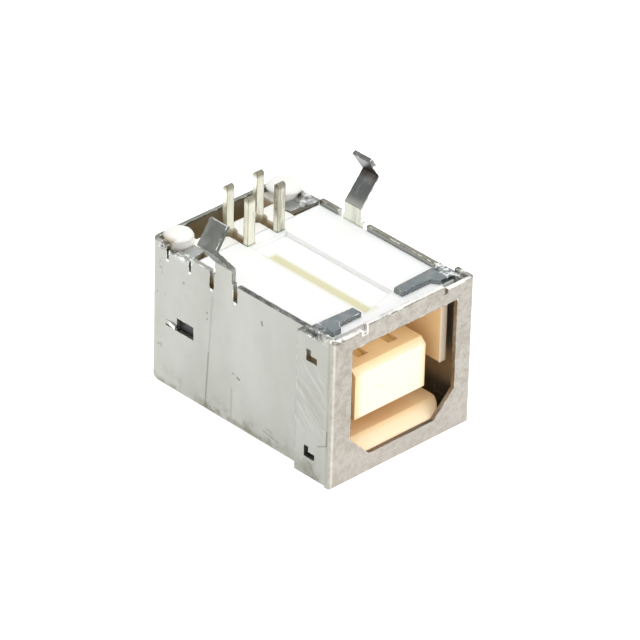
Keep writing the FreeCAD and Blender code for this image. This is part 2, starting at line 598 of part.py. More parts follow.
def make_contact(number, side, level, row):
    body = new_body("contact_%d" % number)
    middle = signed(side, "sizes.pitch / 2")
    face = tongue_top if level > 0 else tongue_base
    outer = face + signed_text(-level, "sizes.blade_depth")
    inner = outer + signed_text(-level, "sizes.blade_thick")
    blade = new_sketch(body, "blade", "YZ_Plane", middle + " - sizes.blade_width / 2")
    slope = "sizes.blade_front + sizes.nose_length"
    tail_back = row + " + sizes.tail_thick / 2"
    tail_front = row + " - sizes.tail_thick / 2"
    tail_end = wall_top + " + sizes.tail_rise"
    draw_outline(blade, [("sizes.blade_front", outer + signed_text(-level, "sizes.nose_drop")),
                         (slope, outer), (cavity_back + " + sizes.sheet", outer),
                         (cavity_back + " + sizes.sheet", inner), (slope, inner),
                         ("sizes.blade_front", inner + signed_text(-level, "sizes.nose_drop"))])
    pad(body, blade, "sizes.blade_width")
    # narrow stretch through the rear wall and the upright tail, one L
    low = inner if level > 0 else outer
    high = outer if level > 0 else inner
    tail = new_sketch(body, "tail", "YZ_Plane", middle + " - sizes.tail_width / 2")
    draw_outline(tail, [(cavity_back, low), (tail_back, low), (tail_back, tail_end),
                        (tail_front, tail_end), (tail_front, high), (cavity_back, high)])
    pad(body, tail, "sizes.tail_width")
    round_edges(body, "heel", "sizes.blade_thick", lambda box: at_y(box, tail_back) and at_z(box, low))
    bevel_edges(body, "tip", "sizes.tail_point", lambda box: (
        at_z(box, tail_end) and (at_y(box, tail_back) or at_y(box, tail_front))))
    return body


bodies = [make_shell(), make_housing(), make_spacer(),
          make_contact(1, -1, 1, near_row), make_contact(2, 1, 1, near_row),
          make_contact(3, -1, -1, far_row), make_contact(4, 1, -1, far_row)]
doc.recompute()

for item in doc.Objects:
    if "Invalid" in item.State or "Error" in item.State:
        raise RuntimeError(item.Name + " failed: " + str(item.State))
os.makedirs("parts", exist_ok=True)
for body in bodies:
    shape = body.Shape
    if shape.isNull() or not shape.isValid() or len(shape.Solids) != 1:
        raise RuntimeError(body.Label + " is not one valid solid")
for body in bodies:
    body.Shape.exportStep("parts/%s.step" % body.Label)
    box = body.Shape.BoundBox
    print(body.Label, round(body.Shape.Volume, 3), "x", round(box.XMin, 3), round(box.XMax, 3),
          "y", round(box.YMin, 3), round(box.YMax, 3), "z", round(box.ZMin, 3), round(box.ZMax, 3))
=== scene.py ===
import math

import bmesh
import bpy
from mathutils import Matrix, Vector


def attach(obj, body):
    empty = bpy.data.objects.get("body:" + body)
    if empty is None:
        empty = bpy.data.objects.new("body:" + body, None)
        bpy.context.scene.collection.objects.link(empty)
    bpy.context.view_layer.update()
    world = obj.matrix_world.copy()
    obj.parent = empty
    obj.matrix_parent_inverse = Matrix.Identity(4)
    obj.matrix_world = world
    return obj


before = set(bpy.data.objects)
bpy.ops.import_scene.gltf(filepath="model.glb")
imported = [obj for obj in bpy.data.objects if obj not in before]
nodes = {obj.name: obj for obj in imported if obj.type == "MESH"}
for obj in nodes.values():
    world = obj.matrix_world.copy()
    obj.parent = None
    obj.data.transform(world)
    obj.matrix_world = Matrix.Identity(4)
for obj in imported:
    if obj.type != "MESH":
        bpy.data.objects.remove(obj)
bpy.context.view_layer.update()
print("frame loaded:", ", ".join(sorted(nodes)))


# camera, placed where the photograph was taken from
cameraView = {
    "azimuth": 44.423,  # degrees, 0 looks along +Y
    "elevation": 31.907,
    "roll": 1.623,
    "distance": 0.3648,
    "aim": (-0.004911, 0.008297),  # right and up of the frame's front middle
    "frontFace": -0.00831,
    "lens": 337.5,
    "sensor": 36.0,
    "clip": (0.01, 20.0),
}


def placeCamera(view):
    azimuth, elevation, roll = (math.radians(view[k]) for k in ("azimuth", "elevation", "roll"))
    look = Vector((
        math.sin(azimuth) * math.cos(elevation),
        math.cos(azimuth) * math.cos(elevation),
        -math.sin(elevation)))
    level = Vector((math.cos(azimuth), -math.sin(azimuth), 0.0))
    upright = level.cross(look)
    right = math.cos(roll) * level + math.sin(roll) * upright
    up = math.cos(roll) * upright - math.sin(roll) * level
    place = right * view["aim"][0] + up * view["aim"][1] - look * view["distance"]
    place.y += view["frontFace"]
    data = bpy.data.cameras.new("photoCamera")
    data.lens = view["lens"]
    data.sensor_width = view["sensor"]
    data.clip_start, data.clip_end = view["clip"]
    camera = bpy.data.objects.new("photoCamera", data)
    bpy.context.scene.collection.objects.link(camera)
    turn = Matrix((right, up, -look)).transposed().to_4x4()
    camera.matrix_world = Matrix.Translation(place) @ turn
    bpy.context.scene.camera = camera


placeCamera(cameraView)
print("camera placed")


# small helpers for the node materials, in the row frame and in metres
def addNode(tree, kind, settings=None, **inputs):
    node = tree.nodes.new("ShaderNode" + kind)
    for name, value in (settings or {}).items():
        setattr(node, name, value)
    for name, value in inputs.items():
        socket = node.inputs[int(name[1:])] if name[1:].isdigit() else node.inputs[name.replace("_", " ")]
        if isinstance(value, bpy.types.NodeSocket):
            tree.links.new(value, socket)
        else:
            socket.default_value = value
    return node


def maths(tree, operation, first, second):
    return addNode(tree, "Math", {"operation": operation}, i0=first, i1=second).outputs[0]


def times(tree, first, *others):
    for other in others:
        first = maths(tree, "MULTIPLY", first, other)
    return first


def mixOf(tree, values, shares):
    first, second = (times(tree, value, share) for value, share in zip(values, shares))
    return maths(tree, "ADD", first, second)


def blendColours(tree, factor, under, over, mode="MIX"):
    settings = {"data_type": "RGBA", "blend_type": mode, "clamp_factor": True}
    return addNode(tree, "Mix", settings, i0=factor, i6=under, i7=over).outputs[2]


def fadeBetween(tree, value, low, high, start=0.0, finish=1.0):
    # runs from start to finish, smoothly, as the value goes from low to high
    smooth = {"interpolation_type": "SMOOTHSTEP"}
    return addNode(tree, "MapRange", smooth, Value=value, i1=low, i2=high, i3=start, i4=finish).outputs[0]


def boxMask(tree, place, low, high, soft):
    # 1 inside the box of two corners in millimetres, fading out over soft
    middle = [(a + b) / 2000 for a, b in zip(low, high)]
    halfSize = [(b - a) / 2000 for a, b in zip(low, high)]
    moved = addNode(tree, "VectorMath", {"operation": "SUBTRACT"}, i0=place, i1=middle).outputs[0]
    folded = addNode(tree, "VectorMath", {"operation": "ABSOLUTE"}, i0=moved).outputs[0]
    outside = addNode(tree, "VectorMath", {"operation": "SUBTRACT"}, i0=folded, i1=halfSize).outputs[0]
    parts = addNode(tree, "SeparateXYZ", Vector=outside).outputs
    most = maths(tree, "MAXIMUM", maths(tree, "MAXIMUM", parts[0], parts[1]), parts[2])
    return fadeBetween(tree, most, -soft / 2000, soft / 2000, 1.0, 0.0)


def noiseAt(tree, place, scale, detail, rough, stretch=(1.0, 1.0, 1.0), offset=(0.0, 0.0, 0.0)):
    mapped = addNode(tree, "Mapping", Vector=place, Location=offset, Scale=stretch).outputs[0]
    return addNode(tree, "TexNoise", Vector=mapped, Scale=scale, Detail=detail, Roughness=rough).outputs[0]


def patternOf(tree, place, ramp, **noise):
    # a noise, faded between two of its levels
    return fadeBetween(tree, noiseAt(tree, place, **noise), *ramp)


def startMaterial(name):
    material = bpy.data.materials.new(name)
    material.use_nodes = True
    tree = material.node_tree
    shader = tree.nodes["Principled BSDF"]
    place = addNode(tree, "TexCoord").outputs["Object"]
    return material, tree, shader, place


def strokeMask(tree, place, start, finish, width):
    # 1 on the straight stroke between two points in millimetres, fading out at its width
    origin = Vector(start) / 1000
    along = Vector(finish) / 1000 - origin
    moved = addNode(tree, "VectorMath", {"operation": "SUBTRACT"}, i0=place, i1=origin).outputs[0]
    scaled = along / along.length_squared
    share = addNode(tree, "VectorMath", {"operation": "DOT_PRODUCT"}, i0=moved, i1=scaled).outputs["Value"]
    share = maths(tree, "MAXIMUM", maths(tree, "MINIMUM", share, 1.0), 0.0)
    nearest = addNode(tree, "VectorMath", {"operation": "SCALE"}, i0=along, Scale=share).outputs[0]
    away = addNode(tree, "VectorMath", {"operation": "DISTANCE"}, i0=moved, i1=nearest).outputs["Value"]
    return fadeBetween(tree, away, width / 4000, width / 1200, 1.0, 0.0)


def paintBox(tree, colour, place, spot, mottle=1.0):
    # lays a colour over the box of a spot: two corners and softness in millimetres, colour, strength
    low, high, soft, paint, strength = spot
    factor = times(tree, boxMask(tree, place, low, high, soft), strength, mottle)
    return blendColours(tree, factor, colour, (*paint, 1.0))


def giveRelief(tree, shader, height, depth, edge):
    # bump over edges that are softened by the radius edge
    softened = addNode(tree, "Bevel", {"samples": 4}, Radius=edge).outputs[0]
    bump = addNode(tree, "Bump", Height=height, Distance=depth, Strength=1.0, Normal=softened)
    tree.links.new(bump.outputs[0], shader.inputs["Normal"])


def edgeMask(tree, radius):
    # 1 along the edges, where the rounded normal turns away from the face's own
    softened = addNode(tree, "Bevel", {"samples": 8}, Radius=radius).outputs[0]
    flat = addNode(tree, "NewGeometry").outputs["Normal"]
    agree = addNode(tree, "VectorMath", {"operation": "DOT_PRODUCT"}, i0=softened, i1=flat).outputs["Value"]
    return fadeBetween(tree, agree, 0.985, 0.90)


def dress(nodeName, material):
    target = nodes[nodeName]
    for number in range(len(target.material_slots)):
        target.material_slots[number].material = material
    print("dressed", nodeName, "in", material.name)


# tin-plated steel sheet of the shell; spots are boxes in millimetres in the row frame
shellMetal = {
    "silver": (0.405, 0.41, 0.38, 1.0),
    "silverDark": (0.33, 0.335, 0.305, 1.0),
    "plateWarm": (0.39, 0.37, 0.336, 1.0),
    "plateDark": (0.30, 0.275, 0.235, 1.0),
    # dark colour of dirt and scratches, also used for the painted shade in the creases
    "dirtAndShade": (0.13, 0.12, 0.09, 1.0),
    "tone": (0.36, 0.66),  # levels of the mixed noises, dark and light
    "toneShares": (0.6, 0.4),  # of the patches and of the drawing lines
    "roughness": (0.3, 0.7, 0.30, 0.48),  # levels of the patches and the roughness at each
    "edge": 0.00006,
    "relief": 0.000012,
    "reliefShares": (0.25, 0.3),  # of the grain and of the mottle
    # noises over the sheet and the levels between which each fades in
    "patches": {"scale": 260.0, "detail": 5.0, "rough": 0.6},
    "grain": {"scale": 3800.0, "detail": 3.0, "rough": 0.6},
    "drawn": {"scale": 500.0, "detail": 4.0, "rough": 0.55, "stretch": (1.0, 0.5, 0.16)},
    "mottle": {"scale": 2600.0, "detail": 5.0, "rough": 0.7, "ramp": (0.33, 0.64)},
    "streaks": {
        "scale": 1400.0,
        "detail": 3.0,
        "rough": 0.6,
        "stretch": (1.0, 1.0, 0.3),
        "ramp": (0.25, 0.6, 0.45, 1.0),
    },
    "patchy": {"scale": 1500.0, "detail": 5.0, "rough": 0.75, "ramp": (0.38, 0.56)},
    "plate": ((-6.0, -8.5, -0.2), (6.0, -8.0, 11.0), 0.06),
    "spots": {
        # painted light: the front plate lighter towards its foot
        "plateFootLight": ((-5.6, -8.5, -0.2), (6.0, -8.0, 2.2), 1.8, (0.42, 0.385, 0.355), 0.6),
        # painted highlight along the left ear's bend, and painted shade just behind it
        "bendHighlight": ((-5.85, -8.4, 0.1), (-5.75, -8.15, 10.4), 0.16, (0.90, 0.86, 0.77), 0.4),
        "bendShade": ((-6.0, -7.95, 0.3), (-5.8, -7.72, 10.4), 0.12, (0.26, 0.25, 0.21), 0.55),
        # painted warm reflection of the plastic on the shaded inner face of the rear wall
        "rearInsideReflection": ((-5.2, 7.9, 6.0), (5.2, 8.06, 10.1), 0.05, (0.46, 0.43, 0.33), 0.9),
        "leftTopEdge": ((-5.6, -5.4, 10.2), (-5.3, 0.75, 10.4), 0.03, (0.075, 0.08, 0.08), 0.9),
        "rightTopEdge": ((5.2, -5.6, 10.2), (5.6, 8.4, 10.4), 0.05, (0.23, 0.22, 0.16), 0.8),
        "rearTopEdge": ((-5.6, 7.9, 10.2), (5.6, 8.4, 10.4), 0.05, (0.20, 0.20, 0.17), 0.8),
        # painted shade: the folded front tabs a darker slate than the rest of the sheet
        "frontTabsShade": ((-5.6, -7.2, 9.93), (5.6, -5.6, 10.4), 0.03, (0.19, 0.22, 0.235), 0.95),
        # painted highlights on the upward faces of the front plate's crest and shoulders
        "crestTopHighlight": ((-3.3, -8.4, 10.72), (3.3, -7.9, 10.8), 0.02, (0.98, 0.97, 0.93), 1.0),
        "leftShoulderHighlight": ((-5.6, -8.4, 10.46), (-3.5, -7.9, 10.52), 0.02, (0.95, 0.94, 0.90), 0.9),
        "rightShoulderHighlight": ((3.5, -8.4, 10.46), (5.6, -7.9, 10.52), 0.02, (0.95, 0.94, 0.90), 0.9),
        # painted shade: a dark line along the crest's front edge
        "crestEdgeShade": ((-3.3, -8.4, 10.69), (3.3, -8.28, 10.80), 0.05, (0.13, 0.11, 0.08), 0.8),
        # painted highlight: a white glint over the left relief notch
        "leftNotchGlint": ((-3.65, -8.4, 10.1), (-3.15, -7.9, 10.8), 0.12, (1.0, 1.0, 0.98), 1.0),
        # painted highlight: the barbs drawn bright white
        "barbs": ((-5.9, 5.8, 4.6), (-5.6, 6.8, 5.2), 0.08, (1.0, 1.0, 0.97), 0.95),
        # painted light: the folded rear tabs lighter than the rest of the sheet
        "rearTabsLit": ((-5.6, 4.8, 9.7), (5.6, 6.75, 10.1), 0.03, (0.42, 0.44, 0.43), 0.95),
        # painted shade on the legs' downward-facing arms and inside the right knee; painted highlights on the
        # right leg's root and edge
        "leftArmShade": ((-7.6, -1.0, 11.3), (-4.5, 4.0, 16.0), 0.5, (0.155, 0.165, 0.15), 0.95),
        "rightRootHighlight": ((5.0, 0.8, 9.0), (5.8, 2.8, 11.15), 0.1, (0.90, 0.91, 0.80), 0.95),
        "rightArmShade": ((5.0, -1.0, 11.45), (7.6, 4.0, 16.0), 0.5, (0.115, 0.12, 0.12), 0.95),
        "rightKneeShade": ((6.2, 0.9, 12.7), (7.0, 2.7, 13.35), 0.5, (0.05, 0.03, 0.02), 0.85),
        "rightLegEdgeHighlight": ((5.2, 0.98, 9.8), (7.6, 1.1, 13.9), 0.03, (0.95, 0.95, 0.93), 1.0),
        # painted shade in the ears' latch slots, warm brown in the upper left one
        "upperSlotLeft": ((-5.6, -6.85, 8.2), (-5.5, -5.8, 9.2), 0.02, (0.48, 0.33, 0.16), 0.9),
        "lowerSlotLeft": ((-5.6, -6.85, 1.4), (-5.5, -5.8, 2.3), 0.02, (0.02, 0.015, 0.02), 0.95),
        "slotsRight": ((5.5, -6.85, 1.4), (5.6, -5.8, 9.2), 0.02, (0.05, 0.04, 0.03), 0.95),
    },
    # olive grime that creeps up from the foot of the left wall, thickest at its creases
    "grime": {
        "line": ((-5.7, -5.0, -0.3), (-4.6, 8.0, 0.30), 0.25, (0.18, 0.175, 0.12), 0.9),
        "rearCorner": ((-5.7, 5.9, -0.3), (-4.6, 7.6, 0.55), 0.45, (0.20, 0.195, 0.14), 0.8),
        "atCrease": ((-5.7, 1.9, -0.3), (-4.6, 3.5, 0.72), 0.6, (0.17, 0.165, 0.11), 0.95),
        "atShortCrease": ((-5.7, -2.2, -0.3), (-4.6, 1.2, 0.58), 0.6, (0.17, 0.165, 0.11), 0.9),
        "behindEar": ((-5.7, -5.1, -0.3), (-4.6, -3.4, 0.6), 0.8, (0.24, 0.24, 0.19), 0.6),
    },
    # painted chrome-like glints and dark reflections on cut edges and in the folds
    "glints": {
        "speckle": {"scale": 2100.0, "detail": 3.0, "rough": 0.65},
        "bright": (1.0, 1.0, 0.97, 1.0),
        "darkReflection": (0.06, 0.05, 0.04, 1.0),
        "radius": 0.00011,
        "upward": (0.0088, 0.0097, 0.3, 0.85),  # weaker below the top of the walls
        "brightRamp": (0.53, 0.60),
        "darkRamp": (0.47, 0.41),
        "folds": {
            "leftFrontTab": ((-6.0, -7.6, 10.05), (-4.75, -5.2, 10.8), 0.25, 0.6),
            "rightFrontTab": ((4.75, -7.6, 10.05), (6.0, -5.2, 10.8), 0.25, 0.75),
            "leftRearTab": ((-5.7, 4.6, 9.88), (-4.95, 7.6, 10.5), 0.15, 0.7),
            "rightRearTab": ((4.2, 4.6, 9.88), (5.7, 7.6, 10.5), 0.15, 0.6),
            "leftEar": ((-6.0, -8.4, 10.3), (-5.0, -7.6, 10.8), 0.2, 0.6),
        },
    },
    # slanting rub marks on the left ear
    "rubs": {
        "turn": 0.85,
        "noise": {"scale": 4200.0, "detail": 2.0, "rough": 0.5, "stretch": (1.0, 1.0, 0.12)},
        "box": ((-6.0, -7.5, 3.6), (-5.8, -5.1, 7.9), 0.9),
        # levels of the noise, colour, strength
        "marks": (((0.53, 0.60), (0.30, 0.275, 0.235, 1.0), 0.5), ((0.44, 0.38), (0.75, 0.75, 0.72, 1.0), 0.16)),
    },
    # darker in patches towards the foot of all walls, and flecks on the left wall's far end
    "foot": {
        "heights": (0.0003, 0.0019, 1.0, 0.0),
        "footPatches": {"scale": 700.0, "detail": 5.0, "rough": 0.7, "offset": (3.0, 1.0, 0.0), "ramp": (0.44, 0.66)},
        "behindPlate": ((-6.0, -7.9, -0.5), (6.0, 9.0, 3.0), 0.2),
        "strength": 0.62,
    },
    "flecks": {
        "noise": {"scale": 1900.0, "detail": 3.0, "rough": 0.6, "ramp": (0.60, 0.68)},
        "farEnd": ((-6.0, 7.1, 1.0), (-5.0, 9.0, 10.2), 0.9),
        "strength": 0.5,
    },
    # painted highlight at the foot of each slit in the left wall: place along the socket and height
    "slitFootHighlights": {
        "places": ((6.79, 9.3), (4.79, 9.3), (2.84, 9.0), (0.74, 9.0)),
        "low": (-5.6, -0.06, -0.08),  # corners of the box round each place
        "high": (-5.4, 0.08, 0.04),
        "soft": 0.12,
        "highlight": (1.0, 1.0, 0.97),
    },
    # start, end, width, strength of the marks on the left wall and ear; the three crease strokes are painted
    # shade along the creases, the rest are scratches and specks
    "strokes": {
        "crease": ((-5.55, 2.74, 8.5), (-5.55, 3.24, 0.4), 0.14, 0.22),
        "creaseFoot": ((-5.55, 3.02, 4.4), (-5.55, 3.26, 0.4), 0.12, 0.40),
        "shortCrease": ((-5.55, 0.90, 2.8), (-5.55, 0.95, 0.6), 0.16, 0.25),
        "speckHigh": ((-5.55, -1.62, 8.78), (-5.55, -1.66, 8.58), 0.14, 0.75),
        "dash": ((-5.55, 0.45, 3.82), (-5.55, 0.22, 3.78), 0.12, 0.8),
        "dashLeft": ((-5.55, 0.86, 3.96), (-5.55, 0.72, 3.93), 0.10, 0.6),
        "dot": ((-5.55, 3.20, 7.20), (-5.55, 3.20, 7.16), 0.12, 0.7),
        "dotBelow": ((-5.55, 3.19, 6.77), (-5.55, 3.19, 6.73), 0.12, 0.6),
        "dotFar": ((-5.55, 5.32, 8.36), (-5.55, 5.32, 8.30), 0.14, 0.6),
        "scratch": ((-5.55, -1.95, 1.17), (-5.55, -3.28, 0.92), 0.07, 0.6),
        "scratchAbove": ((-5.55, -2.2, 1.45), (-5.55, -2.75, 1.32), 0.06, 0.4),
        "earLine": ((-5.87, -7.81, 4.0), (-5.87, -7.78, 3.0), 0.10, 0.6),
        "earLineFoot": ((-5.87, -7.78, 3.0), (-5.87, -7.05, 2.62), 0.08, 0.5),
        "slotMark": ((-5.87, -6.2, 1.14), (-5.87, -6.58, 1.02), 0.07, 0.7),
        "slotMarkBelow": ((-5.87, -6.3, 0.86), (-5.87, -6.62, 0.76), 0.07, 0.6),
    },
}


def makeShellMetal(look):
    material, tree, shader, place = startMaterial("shellMetal")
    height = addNode(tree, "SeparateXYZ", Vector=place).outputs[2]
    patches = noiseAt(tree, place, **look["patches"])
    drawn = noiseAt(tree, place, **look["drawn"])
    mottle = patternOf(tree, place, **look["mottle"])
    streaks = patternOf(tree, place, **look["streaks"])
    patchy = patternOf(tree, place, **look["patchy"])
    tone = fadeBetween(tree, mixOf(tree, (patches, drawn), look["toneShares"]), *look["tone"])
    colour = blendColours(tree, tone, look["silverDark"], look["silver"])
    warm = blendColours(tree, mottle, look["plateDark"], look["plateWarm"])
    colour = blendColours(tree, boxMask(tree, place, *look["plate"]), colour, warm)
    for spot in look["spots"].values():
        colour = paintBox(tree, colour, place, spot, streaks)
    feet = look["slitFootHighlights"]
    for along, up in feet["places"]:
        low, high = (Vector((0.0, along, up)) + Vector(feet[end]) for end in ("low", "high"))
        colour = paintBox(tree, colour, place, (low, high, feet["soft"], feet["highlight"], 1.0))
    for start, finish, width, strength in look["strokes"].values():
        mark = times(tree, strokeMask(tree, place, start, finish, width), strength)
        colour = blendColours(tree, mark, colour, look["dirtAndShade"])
    colour = paintRubs(tree, colour, place, look["rubs"])
    for spot in look["grime"].values():
        colour = paintBox(tree, colour, place, spot, patchy)
    foot, flecks = look["foot"], look["flecks"]
    rising = times(tree, fadeBetween(tree, height, *foot["heights"]), patternOf(tree, place, **foot["footPatches"]))
    rising = times(tree, rising, times(tree, boxMask(tree, place, *foot["behindPlate"]), foot["strength"]))
    colour = blendColours(tree, rising, colour, look["dirtAndShade"])
    farEnd = boxMask(tree, place, *flecks["farEnd"])
    specks = times(tree, farEnd, patternOf(tree, place, **flecks["noise"]), flecks["strength"])
    colour = blendColours(tree, specks, colour, look["dirtAndShade"])
    colour = paintGlints(tree, colour, place, height, look["glints"])
    tree.links.new(colour, shader.inputs["Base Color"])
    shader.inputs["Metallic"].default_value = 1.0
    tree.links.new(fadeBetween(tree, patches, *look["roughness"]), shader.inputs["Roughness"])
    grain = noiseAt(tree, place, **look["grain"])
    relief = mixOf(tree, (grain, mottle), look["reliefShares"])
    giveRelief(tree, shader, relief, look["relief"], look["edge"])
    return material


def paintRubs(tree, colour, place, look):
    turned = addNode(tree, "Mapping", Vector=place, Rotation=(look["turn"], 0.0, 0.0)).outputs[0]
    noise = noiseAt(tree, turned, **look["noise"])
    ear = boxMask(tree, place, *look["box"])
    for levels, paint, strength in look["marks"]:
        mark = times(tree, fadeBetween(tree, noise, *levels), times(tree, ear, strength))
        colour = blendColours(tree, mark, colour, paint)
    return colour


def paintGlints(tree, colour, place, height, look):
    speckle = noiseAt(tree, place, **look["speckle"])
    where = times(tree, edgeMask(tree, look["radius"]), fadeBetween(tree, height, *look["upward"]))
    for low, high, soft, strength in look["folds"].values():
        where = maths(tree, "MAXIMUM", where, times(tree, boxMask(tree, place, low, high, soft), strength))
    bright = times(tree, fadeBetween(tree, speckle, *look["brightRamp"]), where)
    dark = times(tree, fadeBetween(tree, speckle, *look["darkRamp"]), where)
    colour = blendColours(tree, bright, colour, look["bright"])
    return blendColours(tree, dark, colour, look["darkReflection"])


dress("shell", makeShellMetal(shellMetal))


# cream plastic of the housing, with painted warm shade and glow inside the plug space
housingPlastic = {
    "base": (0.93, 0.90, 0.84, 1.0),
    "cloud": (0.90, 0.85, 0.75, 1.0),
    "shade": (0.62, 0.46, 0.28, 1.0),
    "shadeReach": 0.0035,
    "shadeTop": 0.0094,
    "glow": (1.0, 0.62, 0.30, 1.0),
    "glowBox": ((-4.3, -8.1, 1.3), (4.8, 1.0, 9.3), 0.4),
    "glowStrength": 0.33,
    "roughness": 0.42,
    "scatter": (1.0, 0.6, 0.3),
    "edge": 0.00014,
    "spots": {
        # painted warm shade inside the plug space and low down by the side slots
        "plugSpace": ((-4.35, -8.1, 1.2), (4.35, 3.0, 9.34), 0.1, (0.80, 0.62, 0.36), 1.0),
        "sideSlots": ((-5.3, -8.1, 0.8), (5.3, -1.0, 4.5), 0.05, (0.36, 0.26, 0.11), 1.0),
        # painted warm shade on the floor; painted light on the lip's front, lighter than the floor
        "floor": ((-4.23, -8.1, 1.2), (4.23, 2.0, 2.1), 0.1, (1.0, 0.80, 0.52), 1.0),
        "lipFront": ((-4.23, -8.1, 0.3), (4.23, -7.15, 1.9), 0.35, (0.97, 0.86, 0.64), 1.0),
        # painted warm shade on the tongue; painted light on its front face
        "tongue": ((-2.97, -7.3, 3.0), (2.97, 2.0, 6.9), 0.1, (0.93, 0.76, 0.47), 1.0),
        "tongueFace": ((-2.5, -7.4, 3.0), (2.7, -7.0, 6.45), 0.5, (0.98, 0.94, 0.84), 1.0),
        "tongueDot": ((-1.0, -7.3, 4.9), (-0.85, -7.0, 5.05), 0.1, (0.75, 0.45, 0.15), 0.6),
        # painted light on the end face of the right cheek
        "cheekEnd": ((4.2, -7.4, 4.4), (4.8, -7.1, 9.5), 0.08, (1.0, 0.97, 0.90), 1.0),
        # painted warm shade on the housing's sides, seen through the wall's slits
        "outerSides": ((-5.4, -8.0, 0.0), (-5.15, 5.0, 10.0), 0.05, (0.92, 0.72, 0.36), 1.0),
        "outerSidesRight": ((5.15, -8.0, 0.0), (5.4, 5.0, 10.0), 0.05, (0.92, 0.72, 0.36), 1.0),
        # painted light: the lit deck top whiter than the rest of the plastic
        "deckHighlight": ((-5.3, -8.0, 9.6), (5.3, 5.0, 10.1), 0.06, (0.97, 0.97, 0.96), 1.0),
        # painted shadow on the groove's floor beside its left wall
        "grooveShadow": ((-1.6, -6.4, 9.3), (-0.50, 2.5, 9.92), 0.45, (0.72, 0.69, 0.45), 1.0),
    },
}


# what the housing's and the spacer's plastic share
mouldedPlastic = {
    "clouds": {"scale": 180.0, "detail": 4.0, "rough": 0.5, "ramp": (0.3, 0.7)},
    "grain": {"scale": 2500.0, "detail": 3.0, "rough": 0.6},
    "relief": 0.000004,
    "openness": (0.15, 0.7, 0.75, 0.0),  # levels of open space and the shade at each
    "shadeFade": 0.0002,
    "scatterWeight": 0.2,
    "scatterDepth": 0.0008,
}


def makePlastic(name, look, shared):
    material, tree, shader, place = startMaterial(name)
    colour = blendColours(tree, patternOf(tree, place, **shared["clouds"]), look["base"], look["cloud"])
    for spot in look["spots"].values():
        colour = paintBox(tree, colour, place, spot)
    # painted warm shade: narrow places with little open space around them are darkened towards brown instead of
    # grey
    openSpace = addNode(tree, "AmbientOcclusion", {"samples": 6}, Distance=look["shadeReach"]).outputs["AO"]
    height = addNode(tree, "SeparateXYZ", Vector=place).outputs[2]
    below = fadeBetween(tree, height, look["shadeTop"], look["shadeTop"] + shared["shadeFade"], 1.0, 0.0)
    shade = times(tree, fadeBetween(tree, openSpace, *shared["openness"]), below)
    colour = blendColours(tree, shade, colour, blendColours(tree, 1.0, colour, look["shade"], "MULTIPLY"))
    tree.links.new(colour, shader.inputs["Base Color"])
    shader.inputs["Roughness"].default_value = look["roughness"]
    shader.inputs["Subsurface Weight"].default_value = shared["scatterWeight"]
    shader.inputs["Subsurface Radius"].default_value = look["scatter"]
    shader.inputs["Subsurface Scale"].default_value = shared["scatterDepth"]
    # painted glow: warm emission in the glow box, stronger where space is open
    shader.inputs["Emission Color"].default_value = look["glow"]
    glow = times(tree, boxMask(tree, place, *look["glowBox"]), times(tree, openSpace, look["glowStrength"]))
    tree.links.new(glow, shader.inputs["Emission Strength"])
    giveRelief(tree, shader, noiseAt(tree, place, **shared["grain"]), shared["relief"], look["edge"])
    return material


dress("housing", makePlastic("housingPlastic", housingPlastic, mouldedPlastic))

# white plastic of the rear spacer, with painted warm shade in the trough
spacerPlastic = {
    "base": (0.97, 0.96, 0.93, 1.0),
    "cloud": (0.94, 0.92, 0.87, 1.0),
    "shade": (0.62, 0.50, 0.33, 1.0),
    "shadeReach": 0.002,
    "shadeTop": 0.0098,
    "glow": (1.0, 0.7, 0.4, 1.0),
    "glowBox": ((-5.0, 4.7, 9.0), (5.0, 8.2, 9.9), 0.4),
    "glowStrength": 0.03,
    "roughness": 0.4,
    "scatter": (1.0, 0.92, 0.8),
    "edge": 0.00008,
    "spots": {
        "trough": ((-3.35, 6.6, 7.5), (3.35, 8.1, 9.8), 0.15, (0.62, 0.52, 0.34), 0.9),
        # painted shadow inside the side windows
        "windowDark": ((-5.4, 4.0, 4.4), (-5.0, 7.2, 5.8), 0.05, (0.03, 0.03, 0.03), 1.0),
        "windowDarkRight": ((5.0, 4.0, 4.4), (5.4, 7.2, 5.8), 0.05, (0.03, 0.03, 0.03), 1.0),
        # painted warm shade on the spacer's sides, seen through the wall's slits
        "outerSides": ((-5.4, 4.0, 5.9), (-5.15, 9.0, 10.0), 0.05, (0.85, 0.62, 0.30), 1.0),
        "outerSidesRight": ((5.15, 4.0, 5.9), (5.4, 9.0, 10.0), 0.05, (0.85, 0.62, 0.30), 1.0),
        # painted shade on the seats under the rear tabs
        "seats": ((-5.3, 4.7, 9.0), (5.3, 6.7, 9.7), 0.05, (0.55, 0.45, 0.28), 0.7),
        # painted shade on the lower left rim of the left boss
        "bossRimShade": ((-5.7, 6.6, 10.1), (-5.15, 8.3, 10.66), 0.4, (0.45, 0.36, 0.19), 0.95),
    },
}
dress("tail_spacer", makePlastic("spacerPlastic", spacerPlastic, mouldedPlastic))


def addPiece(name, mesh, material):
    # a mesh that rides on the part, in millimetres until here
    bmesh.ops.scale(mesh, vec=(0.001, 0.001, 0.001), verts=mesh.verts)
    bmesh.ops.recalc_face_normals(mesh, faces=mesh.faces)
    data = bpy.data.meshes.new(name)
    mesh.to_mesh(data)
    mesh.free()
    data.materials.append(material)
    piece = bpy.data.objects.new(name, data)
    bpy.context.scene.collection.objects.link(piece)
    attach(piece, "root")
    print("made", name)


